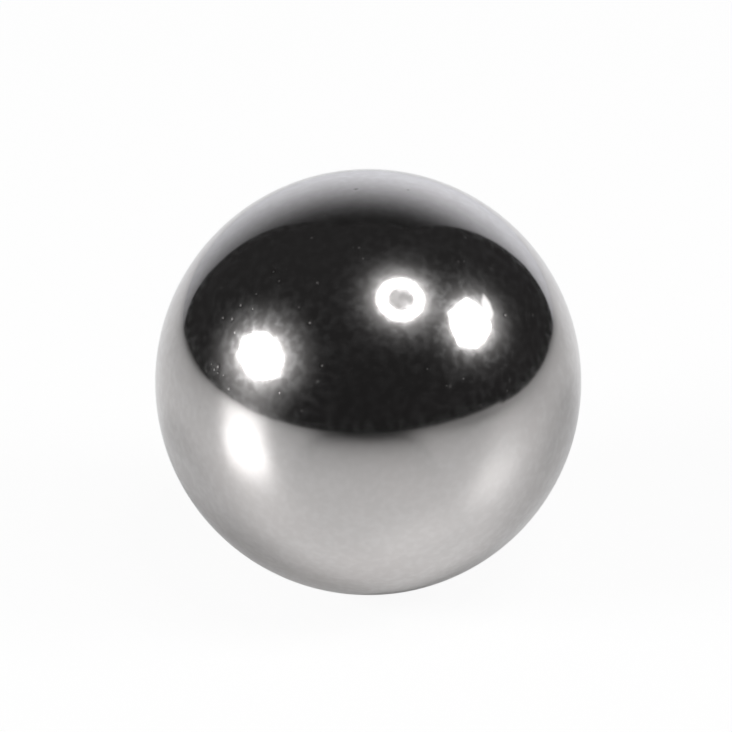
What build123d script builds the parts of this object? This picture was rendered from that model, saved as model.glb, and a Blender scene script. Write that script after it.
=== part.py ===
"""Polished steel ball, one inch across.

A ball like this is headed from bar, hardened, ground and lapped until nothing is left of its poles or its
flash line. The finished piece is one solid sphere of bearing steel, the same in every direction.

Millimetres, +Z up. The origin is the centre of the ball.
"""

import os

from build123d import *

# Driving dimension: the nominal diameter that a ball is ordered by.
BALL_DIAMETER = 25.4


def steel_ball():
    """The whole ball, as one spherical face about the origin."""
    return Sphere(radius=BALL_DIAMETER / 2)


os.makedirs("parts", exist_ok=True)
export_step(steel_ball(), "parts/steel_ball.step")
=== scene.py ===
import math
import random

import bmesh
import bpy
from mathutils import Matrix, Vector, kdtree, noise


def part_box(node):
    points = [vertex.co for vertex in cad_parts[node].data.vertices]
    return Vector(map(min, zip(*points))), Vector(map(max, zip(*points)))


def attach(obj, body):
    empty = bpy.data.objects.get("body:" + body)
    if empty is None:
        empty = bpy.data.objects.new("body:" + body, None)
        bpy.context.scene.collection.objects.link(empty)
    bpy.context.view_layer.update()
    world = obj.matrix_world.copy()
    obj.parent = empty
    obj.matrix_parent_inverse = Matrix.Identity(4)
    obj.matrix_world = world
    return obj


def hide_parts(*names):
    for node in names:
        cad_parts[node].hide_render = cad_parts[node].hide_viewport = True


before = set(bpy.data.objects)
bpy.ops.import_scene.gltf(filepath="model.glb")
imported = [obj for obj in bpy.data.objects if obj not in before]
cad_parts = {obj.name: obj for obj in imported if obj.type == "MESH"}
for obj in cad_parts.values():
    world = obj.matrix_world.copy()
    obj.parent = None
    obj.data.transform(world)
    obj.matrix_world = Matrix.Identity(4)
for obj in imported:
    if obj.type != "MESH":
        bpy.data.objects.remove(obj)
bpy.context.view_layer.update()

# Camera
# A long lens a hand's span from the ball's centre, looking down on it by 25 degrees.
# The lens and its shift put the ball's outline on the same circle of the picture as in the photograph.
ball_lowest, ball_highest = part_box("steel_ball")
BALL_RADIUS = (ball_highest.z - ball_lowest.z) / 2
BALL_CENTRE = Vector((0, 0, (ball_highest.z + ball_lowest.z) / 2))

IMAGE_SIDE_PIXELS = 732
BALL_CENTRE_PIXEL = (368.2, 382.0)
BALL_RADIUS_PIXELS = 213.1
CAMERA_DISTANCE = 0.200
CAMERA_ELEVATION = math.radians(25.0)
SENSOR_WIDTH_MM = 36.0
NEAREST_SEEN = 0.020

towards_camera = Vector((0, -math.cos(CAMERA_ELEVATION), math.sin(CAMERA_ELEVATION)))
picture_right = Vector((1, 0, 0))
picture_up = towards_camera.cross(picture_right)
camera_place = BALL_CENTRE + towards_camera * CAMERA_DISTANCE
focal_pixels = BALL_RADIUS_PIXELS / math.tan(math.asin(BALL_RADIUS / CAMERA_DISTANCE))

lens = bpy.data.cameras.new("long_lens")
lens.sensor_width = SENSOR_WIDTH_MM
lens.lens = SENSOR_WIDTH_MM * focal_pixels / IMAGE_SIDE_PIXELS
lens.shift_x = 0.5 - BALL_CENTRE_PIXEL[0] / IMAGE_SIDE_PIXELS
lens.shift_y = BALL_CENTRE_PIXEL[1] / IMAGE_SIDE_PIXELS - 0.5
lens.clip_start = NEAREST_SEEN
camera = bpy.data.objects.new("camera", lens)
camera.location = camera_place
camera.rotation_euler = towards_camera.to_track_quat("Z", "Y").to_euler()
bpy.context.collection.objects.link(camera)
bpy.context.scene.camera = camera
bpy.context.scene.view_settings.view_transform = "Standard"


# Steel ball
# A solid ball of hardened bearing steel, headed from bar, ground and lapped to a mirror.
# Handling has left small nicks in it, and a thin film of dust lies on the polish.
MESH_ROUNDS = 7
NICK_MESH_ROUNDS = 4
FLAT_FACE_LEAST = 0.5
LARGE_NICK_RADIUS = 0.00024
SMALL_NICK_RADIUS = 0.00020
FAINT_NICK_RADIUS = 0.00012
NICK_DEPTH_SHARE = 0.015
NICK_RAGGED_SHARE = 0.35
FAR_SIDE_NICKS = 30
FAR_SIDE_SEED = 5
LARGE_NICK_PIXELS = [(217.9, 366.8)]
SMALL_NICK_PIXELS = [
    (356, 189.3), (273.5, 271.7), (279, 281), (240.6, 305.6), (223, 318), (232, 319.5), (309.8, 323),
    (321.9, 365.9), (214.2, 369.8), (228.7, 389), (505.4, 315.3),
]
FAINT_NICK_PIXELS = [
    (408, 190), (298.7, 307.4), (217.8, 373), (211.5, 364), (353.3, 247.4), (363.2, 258.7), (464, 261.2),
    (427.3, 368.9), (446.7, 385.7), (463.6, 378.6), (492.6, 265.3), (252.7, 309.2), (223.5, 375.2),
    (235, 333), (256.3, 294.1), (279.5, 392.7),
]


def sight_through(pixel):
    """The camera's line of sight through a pixel of the photograph."""
    across = (pixel[0] - BALL_CENTRE_PIXEL[0]) / focal_pixels
    upward = (BALL_CENTRE_PIXEL[1] - pixel[1]) / focal_pixels
    return (picture_right * across + picture_up * upward - towards_camera).normalized()


def spot_on_ball(pixel):
    """The point of the ball's surface that stands behind a pixel of the photograph."""
    sight = sight_through(pixel)
    from_centre = camera_place - BALL_CENTRE
    along = -from_centre.dot(sight)
    half_chord = math.sqrt(BALL_RADIUS ** 2 - from_centre.length_squared + along ** 2)
    return camera_place + sight * (along - half_chord)


nicks = [(spot_on_ball(pixel), LARGE_NICK_RADIUS) for pixel in LARGE_NICK_PIXELS]
nicks += [(spot_on_ball(pixel), SMALL_NICK_RADIUS) for pixel in SMALL_NICK_PIXELS]
nicks += [(spot_on_ball(pixel), FAINT_NICK_RADIUS) for pixel in FAINT_NICK_PIXELS]
draw = random.Random(FAR_SIDE_SEED)
for _ in range(FAR_SIDE_NICKS):
    outward = Vector([draw.gauss(0, 1) for axis in "xyz"]).normalized()
    if outward.dot(towards_camera) > 0:
        outward.negate()
    nicks.append((BALL_CENTRE + outward * BALL_RADIUS, FAINT_NICK_RADIUS))
nick_places = kdtree.KDTree(len(nicks))
for number, (spot, radius) in enumerate(nicks):
    nick_places.insert(spot, number)
nick_places.balance()

ball = bmesh.new()
dullness = ball.verts.layers.float.new("nick_dullness")
bmesh.ops.create_icosphere(ball, subdivisions=MESH_ROUNDS, radius=BALL_RADIUS)
mesh_step = max(edge.calc_length() for edge in ball.edges)
for _ in range(NICK_MESH_ROUNDS):
    round_nicks = []
    for edge in ball.edges:
        spot, number, gap = nick_places.find((edge.verts[0].co + edge.verts[1].co) / 2)
        if gap < nicks[number][1] + mesh_step:
            round_nicks.append(edge)
    bmesh.ops.subdivide_edges(ball, edges=round_nicks, cuts=1, use_grid_fill=True)
    bmesh.ops.triangulate(ball, faces=[face for face in ball.faces if len(face.verts) > 3])
    mesh_step /= 2
for vert in ball.verts:
    outward = vert.co.normalized()
    on_sphere = outward * BALL_RADIUS
    spot, number, gap = nick_places.find(on_sphere)
    radius = nicks[number][1]
    ragged = 1 + NICK_RAGGED_SHARE * noise.noise(on_sphere / radius)
    share = min(1, gap / radius * ragged)
    vert[dullness] = (1 - share ** 2) ** 2
    vert.co = on_sphere - outward * (radius * NICK_DEPTH_SHARE * vert[dullness])

# The cuts leave a few faces standing on edge, and turning their longest edges lays them flat.
ball.normal_update()
long_edges = []
for face in ball.faces:
    if face.normal.dot(face.verts[0].co.normalized()) < FLAT_FACE_LEAST:
        long_edges.append(max(face.edges, key=lambda edge: edge.calc_length()))
for edge in long_edges:
    bmesh.ops.rotate_edges(ball, edges=[edge])

for face in ball.faces:
    face.smooth = True
ball_mesh = bpy.data.meshes.new("steel_ball_skin")
ball.to_mesh(ball_mesh)
ball.free()
steel_ball = bpy.data.objects.new("steel_ball_skin", ball_mesh)
bpy.context.collection.objects.link(steel_ball)

STEEL_COLOUR = (0.613, 0.591, 0.583, 1.0)
STEEL_SHADE = (0.593, 0.576, 0.570, 1.0)
SHADES_PER_METRE = 160
SHADE_FULL_AT = 0.35
COLOUR_FULL_AT = 0.65
MIRROR_ROUGHNESS = 0.080
FILM_ROUGHNESS = 0.092
FILM_PATCHES_PER_METRE = 2050
FILM_DETAIL = 1.0
FILM_STARTS = 0.40
FILM_FULL = 0.75
HAZE_STARTS = 0.40
HAZE_FULL = 0.70
HAZE_LEAST = 0.0
HAZE_MOST = 0.70
HAZE_ROUGHNESS = 0.24
HAZE_IOR = 2.0
NICK_ROUGHNESS = 0.30
NICK_COLOUR = (0.30, 0.29, 0.285, 1.0)
DUST_COLOUR = (0.55, 0.54, 0.52, 1.0)
DUST_GRAINS_PER_METRE = 2500
DUST_GRAIN_RADIUS_SHARE = 0.34
DUST_COVER_SHARE = 0.10
BARE_CELL_SHARE = 0.85
DUST_LOWEST = -0.002
DUST_FULL_HEIGHT = 0.004
WAVES_PER_METRE = 1500
WAVE_DETAIL = 1.0
WAVE_HEIGHT = 0.0000006


def reckon(tree, operation, *values):
    """Adds a math node that works on sockets or plain numbers, and gives its result."""
    step = tree.nodes.new("ShaderNodeMath")
    step.operation = operation
    for socket, value in zip(step.inputs, values):
        if isinstance(value, bpy.types.NodeSocket):
            tree.links.new(value, socket)
        else:
            socket.default_value = value
    return step.outputs[0]


lapped_steel = bpy.data.materials.new("lapped_steel")
lapped_steel.use_nodes = True
steel_tree = lapped_steel.node_tree
steel_shader = steel_tree.nodes["Principled BSDF"]
ball_place = steel_tree.nodes.new("ShaderNodeTexCoord").outputs["Object"]

shades = steel_tree.nodes.new("ShaderNodeTexNoise")
shades.inputs["Scale"].default_value = SHADES_PER_METRE
steel_tree.links.new(ball_place, shades.inputs["Vector"])
tint = steel_tree.nodes.new("ShaderNodeValToRGB")
tint.color_ramp.elements[0].position = SHADE_FULL_AT
tint.color_ramp.elements[0].color = STEEL_SHADE
tint.color_ramp.elements[1].position = COLOUR_FULL_AT
tint.color_ramp.elements[1].color = STEEL_COLOUR
steel_tree.links.new(shades.outputs["Fac"], tint.inputs["Fac"])

dust = steel_tree.nodes.new("ShaderNodeTexVoronoi")
dust.inputs["Scale"].default_value = DUST_GRAINS_PER_METRE
steel_tree.links.new(ball_place, dust.inputs["Vector"])
dust_grain = steel_tree.nodes.new("ShaderNodeMapRange")
dust_grain.interpolation_type = "SMOOTHSTEP"
dust_grain.inputs["From Min"].default_value = DUST_GRAIN_RADIUS_SHARE
dust_grain.inputs["From Max"].default_value = 0.0
dust_grain.inputs["To Max"].default_value = DUST_COVER_SHARE
steel_tree.links.new(dust.outputs["Distance"], dust_grain.inputs["Value"])
dusty_cell = reckon(steel_tree, "GREATER_THAN", dust.outputs["Color"], BARE_CELL_SHARE)
dusty_height = steel_tree.nodes.new("ShaderNodeMapRange")
dusty_height.inputs["From Min"].default_value = DUST_LOWEST
dusty_height.inputs["From Max"].default_value = DUST_FULL_HEIGHT
ball_axes = steel_tree.nodes.new("ShaderNodeSeparateXYZ")
steel_tree.links.new(ball_place, ball_axes.inputs[0])
steel_tree.links.new(ball_axes.outputs["Z"], dusty_height.inputs["Value"])
settled = reckon(steel_tree, "MULTIPLY", dusty_cell, dusty_height.outputs["Result"])
dust_cover = reckon(steel_tree, "MULTIPLY", dust_grain.outputs["Result"], settled)
dusted = steel_tree.nodes.new("ShaderNodeMixRGB")
dusted.inputs["Color2"].default_value = DUST_COLOUR
steel_tree.links.new(dust_cover, dusted.inputs["Fac"])
steel_tree.links.new(tint.outputs["Color"], dusted.inputs["Color1"])
steel_tree.links.new(reckon(steel_tree, "SUBTRACT", 1.0, dust_cover), steel_shader.inputs["Metallic"])

film = steel_tree.nodes.new("ShaderNodeTexNoise")
film.inputs["Scale"].default_value = FILM_PATCHES_PER_METRE
film.inputs["Detail"].default_value = FILM_DETAIL
steel_tree.links.new(ball_place, film.inputs["Vector"])
film_roughness = steel_tree.nodes.new("ShaderNodeMapRange")
film_roughness.inputs["From Min"].default_value = FILM_STARTS
film_roughness.inputs["From Max"].default_value = FILM_FULL
film_roughness.inputs["To Min"].default_value = MIRROR_ROUGHNESS
film_roughness.inputs["To Max"].default_value = FILM_ROUGHNESS
steel_tree.links.new(film.outputs["Fac"], film_roughness.inputs["Value"])
haze = steel_tree.nodes.new("ShaderNodeMapRange")
haze.inputs["From Min"].default_value = HAZE_STARTS
haze.inputs["From Max"].default_value = HAZE_FULL
haze.inputs["To Min"].default_value = HAZE_LEAST
haze.inputs["To Max"].default_value = HAZE_MOST
steel_tree.links.new(film.outputs["Fac"], haze.inputs["Value"])
steel_tree.links.new(haze.outputs["Result"], steel_shader.inputs["Coat Weight"])
steel_shader.inputs["Coat Roughness"].default_value = HAZE_ROUGHNESS
steel_shader.inputs["Coat IOR"].default_value = HAZE_IOR

nick = steel_tree.nodes.new("ShaderNodeAttribute")
nick.attribute_name = "nick_dullness"
nicked = steel_tree.nodes.new("ShaderNodeMixRGB")
nicked.inputs["Color2"].default_value = NICK_COLOUR
steel_tree.links.new(nick.outputs["Fac"], nicked.inputs["Fac"])
steel_tree.links.new(dusted.outputs["Color"], nicked.inputs["Color1"])
steel_tree.links.new(nicked.outputs["Color"], steel_shader.inputs["Base Color"])
nick_roughness = reckon(steel_tree, "MULTIPLY", nick.outputs["Fac"], NICK_ROUGHNESS)
roughness = reckon(steel_tree, "MAXIMUM", film_roughness.outputs["Result"], nick_roughness)
steel_tree.links.new(roughness, steel_shader.inputs["Roughness"])

waves = steel_tree.nodes.new("ShaderNodeTexNoise")
waves.inputs["Scale"].default_value = WAVES_PER_METRE
waves.inputs["Detail"].default_value = WAVE_DETAIL
steel_tree.links.new(ball_place, waves.inputs["Vector"])
lapping_marks = steel_tree.nodes.new("ShaderNodeBump")
lapping_marks.inputs["Distance"].default_value = WAVE_HEIGHT
steel_tree.links.new(waves.outputs["Fac"], lapping_marks.inputs["Height"])
steel_tree.links.new(lapping_marks.outputs["Normal"], steel_shader.inputs["Normal"])
ball_mesh.materials.append(lapped_steel)

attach(steel_ball, "root")
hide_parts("steel_ball")


# Table
# A wide glossy white board with uneven edges that the ball lies on, with a pool of light painted on its
# back half.
# A strip of it in front has the camera's shade painted on it, and painted shade dims a spot at the right
# and one under the ball.
TABLE_LEVEL = ball_lowest.z
TABLE_BACK = 0.26
TABLE_CORNERS = [
    (-0.37, TABLE_BACK), (-1.10, 0.55), (-0.95, 0.0), (-0.88, -0.25), (-0.42, -0.23), (-0.31, -0.34),
    (-0.14, -0.40), (0.22, -0.55), (1.20, -0.85), (1.25, -0.44), (0.39, -0.115), (0.34, -0.04),
    (0.46, TABLE_BACK),
]
TABLE_COLOUR = (0.95, 0.95, 0.95, 1.0)
TABLE_GLOSS_ROUGHNESS = 0.328
POOL_MIDDLE = (0.0, 0.12)
POOL_REACH = 0.30
POOL_SHARE = 0.72
DIM_SPOT_MIDDLE = (0.20, -0.09)
DIM_SPOT_REACH = 0.10
DIM_SPOT_SHARE = 0.46
CONTACT_SHADE_MIDDLE = (-0.0095, -0.0025)
CONTACT_SHADE_REACH = 0.0055
CONTACT_SHADE_SHARE = 0.17
SHADED_STRIP_LEAN = 0.03
SHADED_STRIP_WIDENING = 0.47
SHADED_STRIP_START = 0.140
SHADED_STRIP_SHARE = 0.88
WHITE_SHARE = 0.93


def bell(tree, distance, reach):
    """A pool of light: 1 at no distance, and less and less past its reach."""
    shares = reckon(tree, "DIVIDE", distance, reach)
    squares = reckon(tree, "MULTIPLY", shares, shares)
    return reckon(tree, "EXPONENT", reckon(tree, "MULTIPLY", squares, -1.0))


def round_bell(tree, axes, middle, reach):
    """A round pool of light on a board."""
    beside = reckon(tree, "SUBTRACT", axes.outputs["X"], middle[0])
    behind = reckon(tree, "SUBTRACT", axes.outputs["Y"], middle[1])
    return reckon(tree, "MULTIPLY", bell(tree, beside, reach), bell(tree, behind, reach))


def dimmed(tree, pool, share):
    """The light on a board where a share of it comes as a pool and the rest is even."""
    return reckon(tree, "MULTIPLY_ADD", pool, share, 1.0 - share)


def white_to_camera(paint, shader):
    """Joins a stage finish to its output so that the camera sees it as white with a faint shadow."""
    nodes = paint.node_tree.nodes
    links = paint.node_tree.links
    matt = nodes.new("ShaderNodeBsdfDiffuse")
    matt.inputs["Color"].default_value = TABLE_COLOUR
    white = nodes.new("ShaderNodeEmission")
    white.inputs["Strength"].default_value = 1.0
    whitened = nodes.new("ShaderNodeMixShader")
    whitened.inputs["Fac"].default_value = WHITE_SHARE
    links.new(matt.outputs[0], whitened.inputs[1])
    links.new(white.outputs[0], whitened.inputs[2])
    path = nodes.new("ShaderNodeLightPath")
    choice = nodes.new("ShaderNodeMixShader")
    links.new(path.outputs["Is Camera Ray"], choice.inputs["Fac"])
    links.new(shader.outputs[0], choice.inputs[1])
    links.new(whitened.outputs[0], choice.inputs[2])
    links.new(choice.outputs[0], nodes["Material Output"].inputs["Surface"])
    paint.cycles.emission_sampling = "NONE"


def put_on_stage(name, shape, paint):
    """Makes a stage object of a finished mesh."""
    for face in shape.faces:
        face.smooth = True
    mesh = bpy.data.meshes.new(name)
    shape.to_mesh(mesh)
    shape.free()
    mesh.materials.append(paint)
    thing = bpy.data.objects.new(name, mesh)
    bpy.context.collection.objects.link(thing)
    return thing


gloss_white = bpy.data.materials.new("gloss_white_board")
gloss_white.use_nodes = True
board_tree = gloss_white.node_tree
board_shader = board_tree.nodes["Principled BSDF"]
board_shader.inputs["Specular IOR Level"].default_value = 0.0
board_shader.inputs["Coat Weight"].default_value = 1.0
board_shader.inputs["Coat Roughness"].default_value = TABLE_GLOSS_ROUGHNESS
board_axes = board_tree.nodes.new("ShaderNodeSeparateXYZ")
board_tree.links.new(board_tree.nodes.new("ShaderNodeTexCoord").outputs["Object"], board_axes.inputs[0])
# The pool of light and the shades below are painted into the board's colour.
pool = round_bell(board_tree, board_axes, POOL_MIDDLE, POOL_REACH)
lit = dimmed(board_tree, pool, POOL_SHARE)
dim_spot = round_bell(board_tree, board_axes, DIM_SPOT_MIDDLE, DIM_SPOT_REACH)
contact_shade = round_bell(board_tree, board_axes, CONTACT_SHADE_MIDDLE, CONTACT_SHADE_REACH)
for shade, share in ((dim_spot, DIM_SPOT_SHARE), (contact_shade, CONTACT_SHADE_SHARE)):
    clear_of_shade = reckon(board_tree, "SUBTRACT", 1.0, shade)
    lit = reckon(board_tree, "MULTIPLY", lit, dimmed(board_tree, clear_of_shade, share))
forwards = reckon(board_tree, "MULTIPLY", board_axes.outputs["Y"], -1.0)
forwards = reckon(board_tree, "MAXIMUM", forwards, 0.0)
from_strip = reckon(board_tree, "MULTIPLY_ADD", forwards, SHADED_STRIP_LEAN, board_axes.outputs["X"])
strip_width = reckon(board_tree, "MULTIPLY", forwards, SHADED_STRIP_WIDENING)
in_strip = bell(
    board_tree,
    reckon(board_tree, "MULTIPLY", from_strip, from_strip),
    reckon(board_tree, "MULTIPLY", strip_width, strip_width),
)
beside_strip = reckon(board_tree, "SUBTRACT", 1.0, in_strip)
clear_of_strip = reckon(board_tree, "MAXIMUM", beside_strip, bell(board_tree, forwards, SHADED_STRIP_START))
lit = reckon(board_tree, "MULTIPLY", lit, dimmed(board_tree, clear_of_strip, SHADED_STRIP_SHARE))
board_colour = reckon(board_tree, "MULTIPLY", lit, TABLE_COLOUR[0])
board_tree.links.new(board_colour, board_shader.inputs["Base Color"])
white_to_camera(gloss_white, board_shader)

table = bmesh.new()
table.faces.new([table.verts.new((*corner, TABLE_LEVEL)) for corner in TABLE_CORNERS])
put_on_stage("table", table, gloss_white)


# Backdrop
# A sheet of matt white paper that bends up behind the table and narrows upwards.
# A round pool of light is painted on its foot and leans to the right, and the rest is painted in shade.
BEND_RADIUS = 0.14
BEND_ANGLE = math.radians(90)
BEND_STEPS = 24
BACKDROP_FOOT = (-0.37, 0.332)
BACKDROP_TOP = (-0.15, 0.23)
BACKDROP_HEIGHT = 0.60
PAPER_COLOUR = (0.92, 0.93, 0.97, 1.0)
PAPER_IN_SHADE = (0.03, 0.03, 0.03, 1.0)
PAPER_POOL_MIDDLE = 0.07
PAPER_POOL_LEAN = 0.14
PAPER_POOL_HALF_WIDTH = 0.37
PAPER_POOL_FOOT = 0.03
PAPER_POOL_HEIGHT = 0.280

matt_white = bpy.data.materials.new("matt_white_paper")
matt_white.use_nodes = True
paper_tree = matt_white.node_tree
paper_shader = paper_tree.nodes["Principled BSDF"]
paper_shader.inputs["Specular IOR Level"].default_value = 0.0
paper_axes = paper_tree.nodes.new("ShaderNodeSeparateXYZ")
paper_tree.links.new(paper_tree.nodes.new("ShaderNodeTexCoord").outputs["Object"], paper_axes.inputs[0])
paper_right = paper_axes.outputs["X"]
paper_height = paper_axes.outputs["Z"]
from_line = reckon(paper_tree, "MULTIPLY_ADD", paper_height, -PAPER_POOL_LEAN, paper_right)
from_middle = reckon(paper_tree, "SUBTRACT", from_line, PAPER_POOL_MIDDLE)
above_foot = reckon(paper_tree, "SUBTRACT", paper_height, PAPER_POOL_FOOT)
paper_pool = reckon(
    paper_tree,
    "MULTIPLY",
    bell(paper_tree, from_middle, PAPER_POOL_HALF_WIDTH),
    bell(paper_tree, reckon(paper_tree, "MAXIMUM", above_foot, 0.0), PAPER_POOL_HEIGHT),
)
paper_shade = paper_tree.nodes.new("ShaderNodeValToRGB")
paper_shade.color_ramp.elements[0].color = PAPER_IN_SHADE
paper_shade.color_ramp.elements[1].color = PAPER_COLOUR
paper_tree.links.new(paper_pool, paper_shade.inputs["Fac"])
paper_tree.links.new(paper_shade.outputs["Color"], paper_shader.inputs["Base Color"])
white_to_camera(matt_white, paper_shader)

backdrop = bmesh.new()
hem = [backdrop.verts.new((side, TABLE_BACK, TABLE_LEVEL)) for side in BACKDROP_FOOT]
hem.append(backdrop.edges.new(hem))
bent = bmesh.ops.spin(
    backdrop,
    geom=hem,
    cent=(0, TABLE_BACK, TABLE_LEVEL + BEND_RADIUS),
    axis=(1, 0, 0),
    angle=BEND_ANGLE,
    steps=BEND_STEPS,
)
top_edge = [part for part in bent["geom_last"] if isinstance(part, bmesh.types.BMEdge)]
risen = bmesh.ops.extrude_edge_only(backdrop, edges=top_edge)
top_corners = [part for part in risen["geom"] if isinstance(part, bmesh.types.BMVert)]
bmesh.ops.translate(backdrop, verts=top_corners, vec=(0, 0, BACKDROP_HEIGHT))
for corner, side in zip(sorted(top_corners, key=lambda corner: corner.co.x), BACKDROP_TOP):
    corner.co.x = side
put_on_stage("backdrop", backdrop, matt_white)


# Lamps
# Three lamps stand round the table, each with a flat bright face and a painted glow round it, which only
# mirror finishes show.
# A face is drawn by the pixels of its highlight: the lamp stands where the ball's mirror throws them.
LAMP_DISTANCE = 0.80
ROUND_LAMP_STEPS = 32
GLOW_DISTANCE = 0.82
GLOW_START_SHARE = 0.7
GLOW_REACH_SHARE = 3.6


def mirrored(pixel):
    """The ball's surface point behind a pixel, and the direction in which it mirrors the camera's sight."""
    spot = spot_on_ball(pixel)
    outward = (spot - BALL_CENTRE).normalized()
    return spot, sight_through(pixel).reflect(outward)


def thrown(pixel, middle_pixel, distance):
    """The place of a pixel on a flat face that stands at a distance behind the mirrored middle pixel."""
    middle_spot, out = mirrored(middle_pixel)
    spot, ray = mirrored(pixel)
    return spot + ray * ((middle_spot + out * distance - spot).dot(out) / ray.dot(out))


def oval(centre, half_length, half_width, turn):
    """Pixels on an oval highlight whose long axis is turned clockwise from the picture's right."""
    pixels = []
    for step in range(ROUND_LAMP_STEPS):
        angle = math.tau * step / ROUND_LAMP_STEPS
        along = half_length * math.cos(angle)
        across = half_width * math.sin(angle)
        pixels.append((
            centre[0] + along * math.cos(turn) - across * math.sin(turn),
            centre[1] + along * math.sin(turn) + across * math.cos(turn),
        ))
    return pixels


def closed_edges(shape, corners):
    """Joins corners into a closed loop of edges."""
    return [shape.edges.new((corners[number - 1], corners[number])) for number in range(len(corners))]


def light_of(name, brightness):
    """The finish of a bright face."""
    light = bpy.data.materials.new(name)
    light.use_nodes = True
    nodes = light.node_tree.nodes
    nodes.remove(nodes["Principled BSDF"])
    emitter = nodes.new("ShaderNodeEmission")
    emitter.inputs["Strength"].default_value = brightness
    light.node_tree.links.new(emitter.outputs[0], nodes["Material Output"].inputs["Surface"])
    return light


def stand_lamp(name, middle_pixel, outline_pixels, brightness, hole_pixels=()):
    """Stands a lamp face whose highlight has this middle and outline, with an optional hole."""
    lamp = bmesh.new()
    rim = [lamp.verts.new(thrown(pixel, middle_pixel, LAMP_DISTANCE)) for pixel in outline_pixels]
    if hole_pixels:
        hole = [lamp.verts.new(thrown(pixel, middle_pixel, LAMP_DISTANCE)) for pixel in hole_pixels]
        bmesh.ops.bridge_loops(lamp, edges=closed_edges(lamp, rim) + closed_edges(lamp, hole))
    else:
        lamp.faces.new(rim)
    put_on_stage(name, lamp, light_of(name + "_light", brightness))


def seen_in_mirror_only(thing):
    """Keeps a stage object out of all but mirrored views."""
    thing.visible_camera = False
    thing.visible_diffuse = False
    thing.visible_shadow = False
    thing.visible_transmission = False


def stand_glow(name, middle_pixel, outline_pixels, rim_brightness, fall_share):
    """Stands a painted glow round a highlight's outline, which only a mirror shows."""
    glow = bmesh.new()
    spread = glow.verts.layers.float.new("spread")
    middle = thrown(middle_pixel, middle_pixel, GLOW_DISTANCE)
    inner = [glow.verts.new(thrown(pixel, middle_pixel, GLOW_DISTANCE)) for pixel in outline_pixels]
    grown = bmesh.ops.extrude_edge_only(glow, edges=closed_edges(glow, inner))
    outer = [part for part in grown["geom"] if isinstance(part, bmesh.types.BMVert)]
    for corners, share in ((inner, GLOW_START_SHARE), (outer, GLOW_REACH_SHARE)):
        bmesh.ops.scale(glow, verts=corners, vec=[share] * 3, space=Matrix.Translation(-middle))
        for corner in corners:
            corner[spread] = share

    light = light_of(name + "_light", rim_brightness)
    tree = light.node_tree
    emitter = tree.nodes["Emission"]
    spread_share = tree.nodes.new("ShaderNodeAttribute")
    spread_share.attribute_name = "spread"
    past_rim = reckon(tree, "SUBTRACT", 1.0, spread_share.outputs["Fac"])
    faded = reckon(tree, "EXPONENT", reckon(tree, "DIVIDE", past_rim, fall_share))
    last_light = math.exp((1 - GLOW_REACH_SHARE) / fall_share)
    above_last = reckon(tree, "SUBTRACT", faded, last_light)
    tree.links.new(reckon(tree, "MULTIPLY", above_last, rim_brightness), emitter.inputs["Strength"])
    clear = tree.nodes.new("ShaderNodeBsdfTransparent")
    both = tree.nodes.new("ShaderNodeAddShader")
    tree.links.new(emitter.outputs[0], both.inputs[0])
    tree.links.new(clear.outputs[0], both.inputs[1])
    tree.links.new(both.outputs[0], tree.nodes["Material Output"].inputs["Surface"])
    light.cycles.emission_sampling = "NONE"
    seen_in_mirror_only(put_on_stage(name, glow, light))


LEFT_LAMP_PIXEL = (260.9, 356.4)
LEFT_LAMP_HALF_AXES = (22.9, 18.9)
LEFT_LAMP_TURN = math.radians(52)
LEFT_LAMP_BRIGHTNESS = 22.2
LEFT_GLOW_PIXEL = (260.4, 356.8)
LEFT_GLOW_RADIUS = 20.5
LEFT_GLOW_BRIGHTNESS = 1.05
LEFT_GLOW_FALL_SHARE = 0.57
LEFT_STREAK_PIXEL = (243.0, 432.0)
LEFT_STREAK_HALF_AXES = (16.0, 24.0)
LEFT_STREAK_GLOW_BRIGHTNESS = 0.35
LEFT_STREAK_GLOW_FALL_SHARE = 0.85
left_outline = oval(LEFT_LAMP_PIXEL, *LEFT_LAMP_HALF_AXES, LEFT_LAMP_TURN)
stand_lamp("left_lamp", LEFT_LAMP_PIXEL, left_outline, LEFT_LAMP_BRIGHTNESS)
left_glow = oval(LEFT_GLOW_PIXEL, LEFT_GLOW_RADIUS, LEFT_GLOW_RADIUS, 0)
stand_glow("left_lamp_glow", LEFT_GLOW_PIXEL, left_glow, LEFT_GLOW_BRIGHTNESS, LEFT_GLOW_FALL_SHARE)
# The left lamp's streak on the board gets a painted glow of its own.
left_streak = oval(LEFT_STREAK_PIXEL, *LEFT_STREAK_HALF_AXES, 0)
stand_glow(
    "left_streak_glow",
    LEFT_STREAK_PIXEL,
    left_streak,
    LEFT_STREAK_GLOW_BRIGHTNESS,
    LEFT_STREAK_GLOW_FALL_SHARE,
)

RIGHT_LAMP_PIXEL = (470.0, 323.0)
RIGHT_LAMP_CORNERS = [
    (449.3, 313), (466.3, 298.9), (478, 306), (490.3, 324.5), (486, 338.5), (475.8, 347.8),
    (458.9, 345), (451.7, 327),
]
RIGHT_WING_CORNERS = [(483.3, 293.6), (490.3, 303.5), (493.5, 314), (491, 321), (485, 313), (481.3, 303)]
RIGHT_FLANK_CORNERS = [(491, 326), (494.5, 336), (478.5, 353), (475, 349)]
RIGHT_LAMP_BRIGHTNESS = 11.7
RIGHT_WING_BRIGHTNESS = 1.8
RIGHT_FLANK_BRIGHTNESS = 0.7
RIGHT_GLOW_PIXEL = (471.7, 322.7)
RIGHT_GLOW_HALF_AXES = (22.0, 20.0)
RIGHT_GLOW_TURN = math.radians(70)
RIGHT_GLOW_BRIGHTNESS = 0.68
RIGHT_GLOW_FALL_SHARE = 0.39
stand_lamp("right_lamp", RIGHT_LAMP_PIXEL, RIGHT_LAMP_CORNERS, RIGHT_LAMP_BRIGHTNESS)
stand_lamp("right_lamp_wing", RIGHT_LAMP_PIXEL, RIGHT_WING_CORNERS, RIGHT_WING_BRIGHTNESS)
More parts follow.
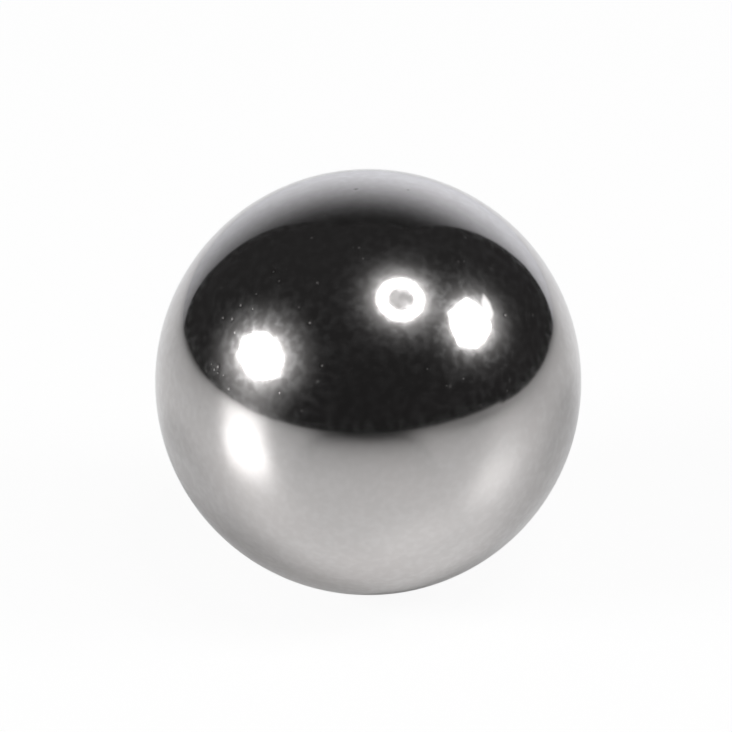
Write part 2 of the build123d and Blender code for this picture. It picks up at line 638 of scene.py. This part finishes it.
stand_lamp("right_lamp_flank", RIGHT_LAMP_PIXEL, RIGHT_FLANK_CORNERS, RIGHT_FLANK_BRIGHTNESS)
right_glow = oval(RIGHT_GLOW_PIXEL, *RIGHT_GLOW_HALF_AXES, RIGHT_GLOW_TURN)
stand_glow("right_lamp_glow", RIGHT_GLOW_PIXEL, right_glow, RIGHT_GLOW_BRIGHTNESS, RIGHT_GLOW_FALL_SHARE)

RING_LAMP_PIXEL = (400.5, 299.5)
RING_LAMP_HALF_AXES = (22.8, 19.6)
RING_HOLE_PIXEL = (401.0, 299.2)
RING_HOLE_HALF_AXES = (15.0, 13.1)
RING_LAMP_TURN = math.radians(12)
RING_LAMP_BRIGHTNESS = 14.0
RING_HOLE_BRIGHTNESS = 0.66
RING_GLOW_PIXEL = (401.8, 299.0)
RING_GLOW_BRIGHTNESS = 0.96
RING_GLOW_FALL_SHARE = 0.37
ring_outline = oval(RING_LAMP_PIXEL, *RING_LAMP_HALF_AXES, RING_LAMP_TURN)
ring_hole = oval(RING_HOLE_PIXEL, *RING_HOLE_HALF_AXES, RING_LAMP_TURN)
stand_lamp("ring_lamp", RING_LAMP_PIXEL, ring_outline, RING_LAMP_BRIGHTNESS, ring_hole)
stand_lamp("ring_lamp_middle", RING_LAMP_PIXEL, ring_hole, RING_HOLE_BRIGHTNESS)
ring_glow = oval(RING_GLOW_PIXEL, *RING_LAMP_HALF_AXES, RING_LAMP_TURN)
stand_glow("ring_lamp_glow", RING_GLOW_PIXEL, ring_glow, RING_GLOW_BRIGHTNESS, RING_GLOW_FALL_SHARE)


# Dark room
# What lies beyond the table is nearly unlit, and darkest low down on the camera's side.
# Only the ball's mirror finish shows it.
ROOM_RADIUS = 1.6
ROOM_MESH_ROUNDS = 4
ROOM_DARKEST = 0.0178
ROOM_PALEST = 0.0260

room = bmesh.new()
bmesh.ops.create_icosphere(room, subdivisions=ROOM_MESH_ROUNDS, radius=ROOM_RADIUS)
bmesh.ops.reverse_faces(room, faces=room.faces)
room_paint = light_of("dark_room_paint", ROOM_PALEST)
room_tree = room_paint.node_tree
room_axes = room_tree.nodes.new("ShaderNodeSeparateXYZ")
room_tree.links.new(room_tree.nodes.new("ShaderNodeTexCoord").outputs["Object"], room_axes.inputs[0])
room_grey = room_tree.nodes.new("ShaderNodeMapRange")
room_grey.inputs["From Min"].default_value = -ROOM_RADIUS
room_grey.inputs["From Max"].default_value = ROOM_RADIUS
room_grey.inputs["To Min"].default_value = ROOM_DARKEST
room_grey.inputs["To Max"].default_value = ROOM_PALEST
upwards_and_back = reckon(room_tree, "ADD", room_axes.outputs["Y"], room_axes.outputs["Z"])
room_tree.links.new(upwards_and_back, room_grey.inputs["Value"])
room_tree.links.new(room_grey.outputs["Result"], room_tree.nodes["Emission"].inputs["Strength"])
room_paint.cycles.emission_sampling = "NONE"
seen_in_mirror_only(put_on_stage("dark_room", room, room_paint))


# Soft light
# An even pale light from all round fills the shadows, and the empty background is white.
FILL_COLOUR = (1, 1, 1, 1)
FILL_BRIGHTNESS = 0.085
BACKGROUND_COLOUR = (1, 1, 1, 1)

studio = bpy.data.worlds.new("soft_light")
studio.use_nodes = True
studio_tree = studio.node_tree
fill = studio_tree.nodes["Background"]
fill.inputs["Color"].default_value = FILL_COLOUR
fill.inputs["Strength"].default_value = FILL_BRIGHTNESS
white = studio_tree.nodes.new("ShaderNodeBackground")
white.inputs["Color"].default_value = BACKGROUND_COLOUR
white.inputs["Strength"].default_value = 1.0
path = studio_tree.nodes.new("ShaderNodeLightPath")
looked_at = reckon(studio_tree, "MAXIMUM", path.outputs["Is Camera Ray"], path.outputs["Is Glossy Ray"])
looked_at = reckon(studio_tree, "MAXIMUM", looked_at, path.outputs["Is Transmission Ray"])
choose = studio_tree.nodes.new("ShaderNodeMixShader")
studio_tree.links.new(looked_at, choose.inputs["Fac"])
studio_tree.links.new(fill.outputs[0], choose.inputs[1])
studio_tree.links.new(white.outputs[0], choose.inputs[2])
studio_tree.links.new(choose.outputs[0], studio_tree.nodes["World Output"].inputs["Surface"])
bpy.context.scene.world = studio
